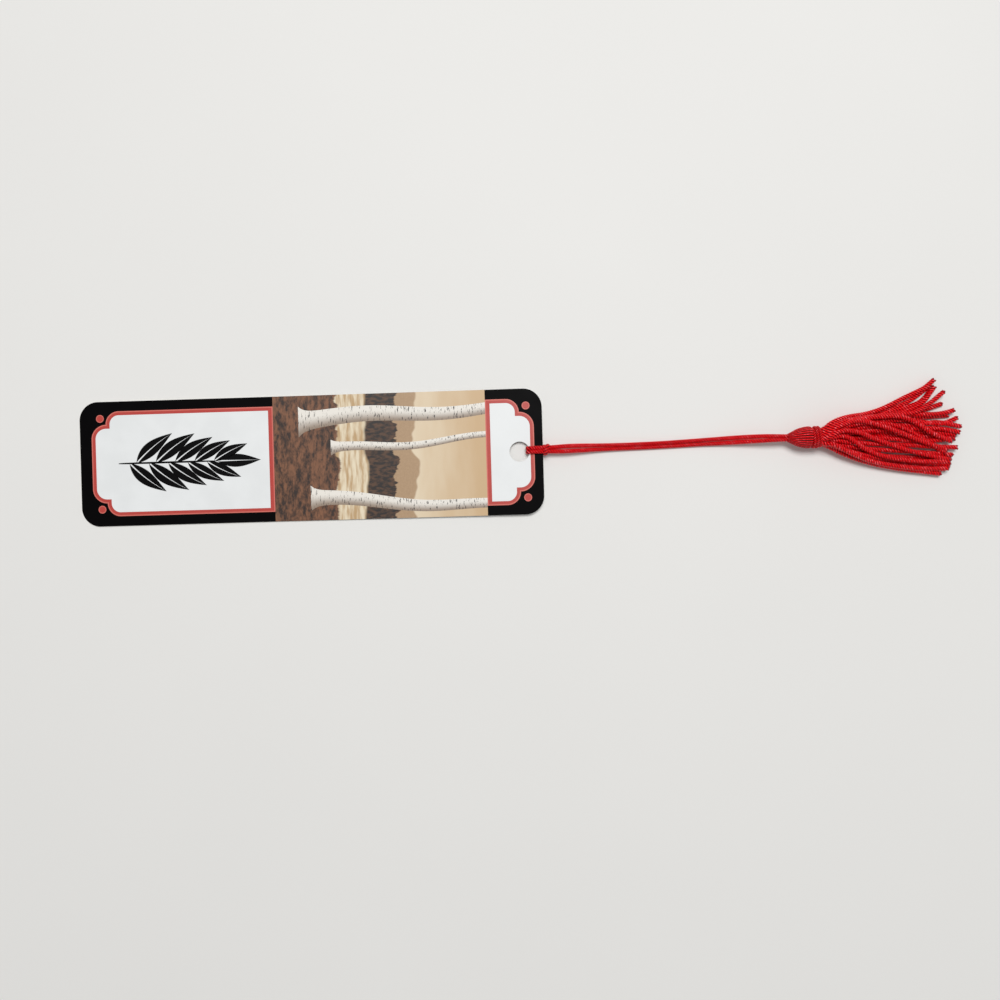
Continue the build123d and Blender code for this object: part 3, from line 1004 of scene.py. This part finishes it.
# The hitch goes over the card's end, down through the hole, back under the end, up beside the legs
# and across them, and the same way back
HITCH = [
    (75.2, 1.0, 2.68),
    (71.6, 0.94, 2.68),
    (69.3, 0.96, 2.7),
    (67.6, 0.95, 2.82),
    (67.15, 0.93, 1.6),
    (67.4, 0.93, 0.66),
    (69.2, 1.1, 0.65),
    (71.2, 1.24, 0.65),
    (72.95, 1.42, 0.66),
    (73.5, 1.46, 1.5),
    (73.5, 1.46, 3.0),
    (73.4, 1.26, 3.94),
    (73.2, 0.8, 4.0),
    (73.0, -0.04, 4.0),
    (72.85, -0.54, 3.94),
    (72.78, -0.76, 3.0),
    (72.78, -0.76, 1.5),
    (72.74, -0.74, 0.66),
    (71.2, -0.54, 0.65),
    (69.2, -0.42, 0.65),
    (67.4, -0.2, 0.66),
    (67.15, -0.2, 1.6),
    (67.6, -0.2, 2.82),
    (69.3, -0.2, 2.7),
    (71.6, -0.18, 2.68),
    (75.2, -0.3, 2.68),
]


class MakeCord(bpy.types.Operator):
    """Make the cord: one twisted cord, parted into stretches where its hinges are"""

    bl_idname = "bookmark.make_cord"
    bl_label = "Cord"

    # where the stretches meet, along X: in the root, in the middle of the legs and in the end
    CUTS = [77.0 * MM, 110.0 * MM, 143.0 * MM]
    # where the twist is looser, and over how long a stretch: beside the hitch and before the crown
    LOOSE = [(80.0 * MM, 8.0 * MM), (133.0 * MM, 9.0 * MM)]
    SWELL = 0.16

    def execute(self, context):
        """Twist the yarns along the cord's whole line, and part them into stretches along X."""
        cord = context.scene.bookmark_cord
        line = smooth_line(np.array(LEFT_LEG + HITCH + RIGHT_LEG) * MM, cord.ring_step)
        along = distances(line)
        # the cord swells as a bell curve where its twist is looser
        loose = sum(np.exp(-(((line[:, 0] - place) / reach) ** 2)) for place, reach in self.LOOSE)
        diameter = cord.cord * (1 + self.SWELL * loose)
        rings = twisted_yarns(line, diameter, cord.cord_lay, cord.yarns, YARN_SIDES)
        # the line's middle, where it crosses over its own legs, parts its left half from its right
        fold = len(line) // 2
        left, right = line[:fold, 0], line[fold:, 0]
        cuts = {
            "left": [*(int(np.argmax(left < cut)) for cut in self.CUTS), 0],
            "right": [*(fold + int(np.argmax(right > cut)) for cut in self.CUTS), len(line) - 1],
        }

        def stretch(name, *ends):
            """The piece of the cord between two of its points, and its part of the line."""
            first, last = sorted(ends)
            span = slice(first, last + 1)
            return cord_piece(name, rings[:, span], along[span], yarn_finish(cord)), line[span]

        hitch, hitch_line = stretch("cord_hitch_yarns", cuts["left"][0], cuts["right"][0])
        bend(hitch)
        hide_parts("cord_hitch", "cord_root_left", "cord_root_right")
        for side, (root_cut, leg_cut, end_cut, last) in cuts.items():
            near, near_line = stretch(f"cord_{side}_near_yarns", root_cut, leg_cut)
            bend(near)
            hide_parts(f"cord_{side}")
            far, far_line = stretch(f"cord_{side}_far_yarns", leg_cut, end_cut)
            bend(far)
            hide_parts(f"cord_{side}", f"cord_end_{side}")
            tail, _ = stretch(f"cord_{side}_tail_yarns", end_cut, last)
            bend(tail)
            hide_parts(f"cord_tail_{side}")
        return {"FINISHED"}


def bend(piece):
    """Move a piece's place into its mesh, which then sits at the origin."""
    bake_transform(piece)


def round_tassel(along, radius, angle):
    """Points round the tassel's axis: at places along it, out from it by a radius, and at an angle
    from +Y towards +Z."""
    along, radius, angle = np.broadcast_arrays(along, radius, angle)
    across = TASSEL_AXIS.y + radius * np.cos(angle)
    return np.stack([along, across, TASSEL_AXIS.z + radius * np.sin(angle)], axis=-1)


class MakeCrown(bpy.types.Operator):
    """Make the tassel's crown: strands folded over the cord's ends and gathered at the neck"""

    bl_idname = "bookmark.make_crown"
    bl_label = "Crown"

    STRANDS = 26
    POINTS_PER_STRAND = 12
    RING_STEP = 0.09 * MM
    # the crown's profile in millimetres: along from its tip and out from its axis
    PROFILE = [
        (1.9, 0.95),
        (0.4, 1.05),
        (-0.05, 1.2),
        (0.4, 1.4),
        (1.3, 1.85),
        (2.6, 2.55),
        (4.2, 3.05),
        (5.5, 3.28),
        (6.6, 3.32),
        (7.1, 3.1),
        (7.3, 2.75),
        (9.8, 2.7),
        (10.1, 2.0),
        (10.1, 0.02),
    ]
    # a strand's bulge as a share of its width, how steep its sides are, and the height of the
    # bulge at which it meets the profile
    BULGE_SHARE = 0.42
    STEEPNESS = 0.94
    PROFILE_LEVEL = 0.9
    # the yarns across a strand: their pitch, slant and height, and the bulge that shows them whole
    RIDGE_PITCH = 0.66 * MM
    RIDGE_SLANT = 0.55
    RIDGE_HEIGHT = 0.05 * MM
    RIDGE_BULGE = 0.3 * MM
    # how far across the yarn's map a strand goes, to each side of the line that faces out
    MAP_REACH = 0.28
    # points closer than this are merged, so few are left round the crown's end in the neck
    WELD = 0.002 * MM

    def execute(self, context):
        """Carry the profile round the axis. Across each strand the radius bulges as part of an
        ellipse, with a cosine along the crown for the yarns."""
        profile = np.array([(along, out, 0.0) for along, out in self.PROFILE]) * MM
        line = smooth_line(profile, self.RING_STEP)
        along, out = distances(line), line[:, 1:2]
        columns = self.STRANDS * self.POINTS_PER_STRAND
        place = np.arange(columns) / columns
        # across one strand, from -1 at one side of it to 1 at the other
        strand = 2 * ((place * self.STRANDS) % 1.0) - 1
        crest = np.sqrt(1 - self.STEEPNESS * strand**2)
        bulge = self.BULGE_SHARE * math.tau / self.STRANDS * out
        phase = along[:, None] / self.RIDGE_PITCH - self.RIDGE_SLANT * strand
        shown = np.clip(bulge / self.RIDGE_BULGE, 0, 1)
        ridge = self.RIDGE_HEIGHT * np.cos(math.tau * phase) * crest * shown
        radius = np.maximum(out + bulge * (crest - self.PROFILE_LEVEL) + ridge, 0.0)
        points = round_tassel(CROWN_LOW.x + line[:, :1], radius, math.tau * place)
        maps = grid_map(along, columns)
        edges = maps[..., 0] / self.POINTS_PER_STRAND
        edges -= np.floor(edges.min(axis=-1, keepdims=True))
        maps[..., 0] = 0.5 + self.MAP_REACH * (2 * edges - 1)
        faces = grid_faces(len(line), columns, wrap=True)
        finish = yarn_finish(context.scene.bookmark_cord)
        piece = new_piece("crown_strands", points, faces, [finish], maps)
        weld(piece, self.WELD)
        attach(piece, "tassel")
        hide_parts("tassel_crown")
        return {"FINISHED"}


class WindBinding(bpy.types.Operator):
    """Wind the binding: turns of yarn side by side round the tassel's neck"""

    bl_idname = "bookmark.wind_binding"
    bl_label = "Binding"

    POINTS_PER_TURN = 16
    # where the winding starts, as a share of a turn from +Y
    FIRST_TURN = 0.1
    # the turns' pitch, as a share of the yarn's diameter
    PITCH_SHARE = 0.985
    # how far in each end tucks, as a share of the radius, and over how many points
    TUCK_SHARE = 0.16
    TUCK_POINTS = 2.0

    def execute(self, context):
        """Make a helix round the axis, with a radius that falls at each end as an exponential."""
        cord = context.scene.bookmark_cord
        low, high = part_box("neck_binding")
        turns = cord.binding_turns
        count = round(self.POINTS_PER_TURN * turns)
        share = np.linspace(0.0, 1.0, count + 1)
        angle = math.tau * (turns * share + self.FIRST_TURN)
        # the spline's control points stand out by the secant of half the angle between them
        outer = (high.z - low.z) / 2
        radius = (outer - cord.binding / 2) / math.cos(math.pi / self.POINTS_PER_TURN)
        width = turns * self.PITCH_SHARE * cord.binding
        along = (low.x + high.x) / 2 + width * (share - 0.5)
        from_ends = np.array([share, 1 - share]) * count
        tuck = 1 - self.TUCK_SHARE * np.exp(-from_ends / self.TUCK_POINTS).sum(axis=0)
        line = smooth_line(round_tassel(along, radius * tuck, angle), cord.ring_step)
        rings = twisted_yarns(line, cord.binding, cord.binding_lay, cord.yarns, YARN_SIDES)
        piece = cord_piece("binding_yarns", rings, distances(line), yarn_finish(cord))
        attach(piece, "tassel")
        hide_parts("neck_binding")
        return {"FINISHED"}


# The skirt's rows of strands at the neck, from the lowest, and each strand's row and place in it
ROW_COUNTS = [3, 5, 5, 5, 5, 3]
NECK_PLACES = [
    *((1, 0), (1, 1), (0, 0), (1, 2), (0, 1), (1, 3), (0, 2), (1, 4)),
    *((2, 0), (3, 0), (2, 1), (3, 1), (2, 2), (3, 2), (2, 3), (3, 3), (2, 4), (3, 4)),
    *((4, 0), (4, 1), (5, 0), (4, 2), (5, 1), (4, 3), (5, 2), (4, 4)),
]
# Each strand in millimetres: its height where it has settled and at its tip, and its line as it
# lies on the table, along and across, from just past the neck to its tip
STRAND_LINES = [
    (0.79, 0.78, [(159.5, -1.2), (163, -2.9), (168, -4.7), (173, -5.9), (178, -6.9), (183, -7.7),
        (188, -8.4), (194.8, -9.2)]),
    (0.79, 0.78, [(159.5, -0.6), (163, -1.9), (168, -3.2), (173, -4.1), (178, -4.8), (183, -5.2),
        (188, -5.4), (196.9, -5.9)]),
    (0.79, 0.78, [(159.5, 0.6), (163, 0.7), (168, 0.9), (173, 1.2), (178, 1.4), (183, 1.4),
        (190, 1.0), (198.2, 0.0)]),
    (0.79, 0.78, [(159.5, 1.6), (163, 2.6), (168, 3.8), (173, 4.9), (178, 5.9), (183, 6.6),
        (188, 6.9), (192, 7.0), (196.5, 7.3)]),
    (0.79, 0.78, [(159.5, 1.9), (163, 2.1), (168, 2.2), (173, 2.4), (178, 2.5), (183, 2.5),
        (190, 2.4), (198.6, 1.2)]),
    (0.79, 0.78, [(159.5, 2.9), (163, 3.9), (168, 5.0), (173, 6.0), (178, 7.0), (183, 7.9),
        (187, 8.7), (190.4, 9.5), (192.5, 10.2), (194.6, 10.9)]),
    (0.79, 0.78, [(159.5, 4.0), (163, 5.3), (168, 6.6), (173, 7.7), (178, 8.9), (183, 9.9),
        (185.4, 10.5), (188, 11.6), (189.8, 13.2), (191.4, 15.3)]),
    (0.79, 0.78, [(159.3, 4.8), (161.5, 5.7), (163.9, 6.4), (167.6, 7.0), (171, 7.5), (175.3, 8.7),
        (179.4, 9.8), (183, 11.2), (185.4, 12.4), (188.5, 14.6), (191.4, 16.9)]),
    (2.0, 1.6, [(159.5, -1.7), (163, -3.6), (168, -5.6), (173, -7.1), (178, -8.2), (183, -9.1),
        (188, -9.8), (193.3, -10.6)]),
    (2.0, 1.7, [(159.5, -1.0), (163, -2.4), (168, -3.9), (173, -5.0), (178, -5.8), (183, -6.5),
        (190, -7.3), (196.2, -7.9)]),
    (2.05, 1.75, [(159.5, -0.2), (163, -1.0), (168, -2.0), (173, -2.6), (178, -3.0), (183, -3.4),
        (190, -4.2), (197, -4.9)]),
    (2.05, 1.85, [(159.5, 0.6), (163, 0.1), (168, -0.5), (173, -0.9), (178, -1.2), (183, -1.5),
        (190, -2.2), (198.4, -2.7)]),
    (2.0, 1.7, [(159.5, 1.3), (163, 1.2), (168, 1.0), (173, 0.9), (178, 0.6), (183, 0.0),
        (188, -0.5), (193.1, -0.4), (196.9, 0.1)]),
    (2.0, 1.7, [(159.5, 2.0), (163, 2.3), (168, 2.8), (173, 3.1), (178, 3.3), (183, 3.4),
        (188.8, 3.4), (192.6, 3.3), (196.2, 2.7), (199.4, 1.9)]),
    (2.1, 1.9, [(159.5, 2.7), (163, 3.5), (168, 4.2), (173, 4.6), (178, 4.6), (183.1, 4.4),
        (187, 4.6), (190, 5.1), (192.7, 5.2), (196.3, 4.5), (199.7, 3.6)]),
    (2.1, 1.7, [(159.5, 3.3), (163, 4.4), (168, 5.3), (173, 5.9), (178, 6.2), (183, 6.1),
        (188, 5.4), (192, 4.7), (195.4, 4.8), (198.8, 6.4)]),
    (2.1, 1.9, [(159.5, 4.0), (163, 5.2), (168, 6.1), (173, 6.8), (178, 7.5), (181.4, 7.7),
        (188.3, 7.7), (191.9, 7.6), (195, 7.9), (197.8, 8.7)]),
    (2.1, 1.6, [(159.5, 4.6), (163, 5.8), (167.6, 6.2), (171, 6.7), (175.3, 7.5), (180.5, 8.2),
        (183.2, 8.8), (186, 9.9), (188.1, 11.1), (189.6, 12.5), (190.9, 14.5), (192.2, 16.1)]),
    (3.2, 2.2, [(159.5, -0.6), (163, -2.6), (168, -5.0), (173, -6.6), (178, -7.7), (183, -8.5),
        (188, -9.0), (195.5, -9.0)]),
    (3.4, 2.4, [(159.3, 1.3), (161.7, 1.8), (164.1, 1.3), (165.9, 0.2), (167.6, -1.1), (171, -3.2),
        (176, -5.0), (183, -6.3), (190, -6.9), (196, -7.0)]),
    (3.5, 2.6, [(159.5, 2.5), (162, 3.2), (165, 3.2), (169, 2.2), (171.4, 1.1), (174.4, 0.0),
        (176.6, -0.9), (184, -3.6), (190, -5.0), (195.8, -6.4)]),
    (3.3, 2.5, [(159.5, 3.0), (163, 4.4), (168, 5.4), (171.5, 5.6), (175.2, 5.3), (179.8, 4.4),
        (182.2, 3.5), (184.5, 2.2), (186.6, 0.8), (188.6, -0.7), (194.5, -4.2)]),
    (4.5, 2.9, [(159.4, 3.8), (162.4, 5.1), (166.1, 6.2), (169.7, 5.9), (172.8, 5.1), (175.8, 4.1),
        (179.1, 2.8), (181.2, 1.9), (187, -0.6), (195.0, -3.4)]),
    (4.3, 2.7, [(159.5, 4.3), (163, 5.6), (168, 6.5), (173, 7.2), (179, 7.4), (182, 6.8),
        (184.6, 5.6), (186.7, 4.3), (188.7, 2.9), (190.2, 1.9), (196.4, -0.9)]),
    (3.3, 2.6, [(159.5, 4.7), (163, 6.1), (168, 6.8), (173, 7.4), (178, 7.8), (184.4, 8.0),
        (186.8, 8.9), (189, 10.2), (191.1, 11.6), (192.9, 13.1), (194.6, 14.4)]),
    (2.3, 1.9, [(158.5, 5.3), (161.5, 6.7), (165.5, 7.6), (170.1, 8.1), (174.7, 9.3), (178.5, 10.9),
        (182.5, 12.9), (186.1, 14.4), (188.8, 15.6), (190.7, 17.1), (192.0, 18.2)]),
]


class MakeSkirt(bpy.types.Operator):
    """Make the skirt: strands that leave the neck, fall onto each other, cross and spread"""

    bl_idname = "bookmark.make_skirt"
    bl_label = "Skirt"

    # how far apart the strands and their rows are, how far inside the neck they start, and the
    # share of their spread that they have there and at the crown's end
    SIDE_PITCH = 1.4 * MM
    ROW_PITCH = 1.3 * MM
    NECK = 1.6 * MM
    NECK_SHARE = 0.46
    MOUTH_SHARE = 0.8
    # how far a strand has fallen at shares of its reach: from the neck to its settled height, and
    # from there to its tip's height
    STATION_SHARES = [0.06, 0.15, 0.27, 0.39, 0.51, 0.63, 0.75, 0.87, 1.0]
    FALL_SHARES = [0.0, 0.12, 0.5, 0.9, 1.0, 1.0, 1.0, 1.0, 1.0]
    DROOP_SHARES = [0.0, 0.0, 0.0, 0.0, 0.0, 0.1, 0.35, 0.7, 1.0]
    # a strand's cut end: how much it frays, and how far up from it the cut's tone reaches
    FRAY = 0.5
    CUT_LENGTH = 0.7 * MM

    def execute(self, context):
        """Make each strand along its own route."""
        cord = context.scene.bookmark_cord
        for index, (neck_place, strand) in enumerate(zip(NECK_PLACES, STRAND_LINES), start=1):
            self.make_strand(cord, f"skirt_strand_{index:02d}", self.route(neck_place, strand))
        return {"FINISHED"}

    def route(self, neck_place, strand):
        """A strand's route: out from under the binding in its row, then along its line, falling to
        its settled height and drooping to its tip."""
        row, column = neck_place
        settled, tip, points = strand
        side = self.SIDE_PITCH * (column - (ROW_COUNTS[row] - 1) / 2)
        rise = self.ROW_PITCH * (row - (len(ROW_COUNTS) - 1) / 2)
        start = [
            (SKIRT_START + along, TASSEL_AXIS.y + share * side, TASSEL_AXIS.z + share * rise)
            for along, share in ((-self.NECK, self.NECK_SHARE), (0.0, self.MOUTH_SHARE))
        ]
        along, across = np.array(points).T * MM
        share = (along - SKIRT_START) / (along[-1] - SKIRT_START)
        fallen = np.interp(share, self.STATION_SHARES, self.FALL_SHARES)
        drooped = np.interp(share, self.STATION_SHARES, self.DROOP_SHARES)
        mouth_height = TASSEL_AXIS.z + rise
        height = mouth_height + (settled * MM - mouth_height) * fallen
        height += (tip - settled) * MM * drooped
        return np.concatenate([start, np.stack([along, across, height], axis=1)])

    def make_strand(self, cord, node, route):
        """One twisted strand with a cut end that frays a little."""
        line = smooth_line(route, cord.ring_step)
        along = distances(line)
        lay, yarns = cord.strand_lay, cord.yarns
        rings = twisted_yarns(line, cord.strand, lay, yarns, STRAND_SIDES, fray=self.FRAY)
        cut_end = np.clip(1 - (along[-1] - along) / self.CUT_LENGTH, 0.0, 1.0)
        piece = cord_piece(f"{node}_yarns", rings, along, yarn_finish(cord), cut_end)
        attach(piece, "tassel")
        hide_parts(node)


class SetStage(bpy.types.Operator):
    """Set the table, the lamps and the camera"""

    bl_idname = "bookmark.set_stage"
    bl_label = "Stage"

    # the table: half its side, its rows of points, and how far its top is under the card
    TABLE_HALF = 1.5
    TABLE_ROWS = 9
    TABLE_DROP = 0.02 * MM
    WINDOW_PLACE = (0.16, 0.42, 1.3)
    WINDOW_SIZE = (0.6, 0.45)
    # the camera's sensor in millimetres, and the least distance at which it sees
    SENSOR = 36.0
    NEAREST = 0.01

    def execute(self, context):
        stage = context.scene.bookmark_stage
        self.lay_table(stage)
        self.light(context, stage)
        self.place_camera(context, stage)
        context.scene.view_settings.view_transform = "Standard"
        return {"FINISHED"}

    def lay_table(self, stage):
        """A pale painted table: a level grid, with a faint cloudiness in its tone."""
        places = np.linspace(-self.TABLE_HALF, self.TABLE_HALF, self.TABLE_ROWS)
        along, across = np.meshgrid(places, places)
        points = np.stack([along, across, np.full(along.shape, -self.TABLE_DROP)], axis=-1)
        finish = Finish("table_paint", Roughness=0.55, Specular_IOR_Level=0.2)
        clouds = finish.noise(finish.millimetres(), scale=0.012, detail=3.0)
        finish.paint(finish.mix(clouds, shaded(stage.table, 0.97), stage.table))
        faces = grid_faces(self.TABLE_ROWS, self.TABLE_ROWS)
        new_piece("table", points, faces, [finish.material])

    def light(self, context, stage):
        """Even light from all round, and one soft window high over the card, on its +Y side."""
        world = bpy.data.worlds.new("room")
        world.use_nodes = True
        background = world.node_tree.nodes["Background"]
        background.inputs["Color"].default_value = (1.0, 1.0, 1.0, 1.0)
        self.pale_backdrop(world.node_tree, background, stage)
        context.scene.world = world
        lamp = bpy.data.lights.new("window", "AREA")
        lamp.shape = "RECTANGLE"
        lamp.size, lamp.size_y = self.WINDOW_SIZE
        lamp.energy = stage.window
        window = bpy.data.objects.new("window", lamp)
        window.location = self.WINDOW_PLACE
        aim = Vector((CARD_HIGH.x, 0.0, 0.0)) - window.location
        window.rotation_euler = aim.to_track_quat("-Z", "Y").to_euler()
        context.scene.collection.objects.link(window)

    def pale_backdrop(self, tree, background, stage):
        """Show the room pale where it is seen straight on, in a reflection or through something,
        and let it light the scene at its own strength."""
        path = tree.nodes.new("ShaderNodeLightPath")
        seen = path.outputs["Is Camera Ray"]
        for kind in ("Is Glossy Ray", "Is Transmission Ray"):
            either = tree.nodes.new("ShaderNodeMath")
            either.operation = "MAXIMUM"
            tree.links.new(seen, either.inputs[0])
            tree.links.new(path.outputs[kind], either.inputs[1])
            seen = either.outputs[0]
        strength = tree.nodes.new("ShaderNodeMapRange")
        tree.links.new(seen, strength.inputs["Value"])
        strength.inputs["To Min"].default_value = stage.sky
        strength.inputs["To Max"].default_value = stage.backdrop
        tree.links.new(strength.outputs[0], background.inputs["Strength"])

    def place_camera(self, context, stage):
        """A camera that looks down on the table, leaned along X and rolled about its view."""
        data = bpy.data.cameras.new("camera")
        data.sensor_width = self.SENSOR
        data.lens = stage.lens
        data.clip_start = self.NEAREST
        camera = bpy.data.objects.new("camera", data)
        turn = Matrix.Rotation(stage.lean, 4, "Y") @ Matrix.Rotation(stage.roll, 4, "Z")
        camera.matrix_world = Matrix.Translation(stage.camera) @ turn
        context.scene.collection.objects.link(camera)
        context.scene.camera = camera


class BookmarkPanel(bpy.types.Panel):
    """Buttons that build the bookmark, and its sizes and colours"""

    bl_idname = "VIEW3D_PT_bookmark"
    bl_label = "Bookmark"
    bl_space_type = "VIEW_3D"
    bl_region_type = "UI"
    bl_category = "Bookmark"

    def draw(self, context):
        for operator in OPERATORS:
            self.layout.operator(operator.bl_idname)
        for group in PROPERTIES:
            box = self.layout.box()
            box.label(text=group.removeprefix("bookmark_").capitalize())
            values = getattr(context.scene, group)
            for name in values.__annotations__:
                box.prop(values, name)


PROPERTIES = {
    "bookmark_card": BookmarkCard,
    "bookmark_picture": BookmarkPicture,
    "bookmark_cord": BookmarkCord,
    "bookmark_stage": BookmarkStage,
}
OPERATORS = [
    SetStage,
    MakeCard,
    PrintFrame,
    PrintPicture,
    PrintSprig,
    MakeCord,
    MakeCrown,
    WindBinding,
    MakeSkirt,
]


def register():
    """Register the classes, and give the scene its properties."""
    for group in (*PROPERTIES.values(), *OPERATORS, BookmarkPanel):
        bpy.utils.register_class(group)
    for name, group in PROPERTIES.items():
        setattr(bpy.types.Scene, name, PointerProperty(type=group))


def unregister():
    """Take the properties and the classes away again."""
    for name in PROPERTIES:
        delattr(bpy.types.Scene, name)
    for group in reversed((*PROPERTIES.values(), *OPERATORS, BookmarkPanel)):
        bpy.utils.unregister_class(group)


def main():
    """Build the bookmark."""
    register()
    bpy.ops.bookmark.set_stage()
    bpy.ops.bookmark.make_card()
    bpy.ops.bookmark.print_frame()
    bpy.ops.bookmark.print_picture()
    bpy.ops.bookmark.print_sprig()
    bpy.ops.bookmark.make_cord()
    bpy.ops.bookmark.make_crown()
    bpy.ops.bookmark.wind_binding()
    bpy.ops.bookmark.make_skirt()


if __name__ == "__main__":
    main()
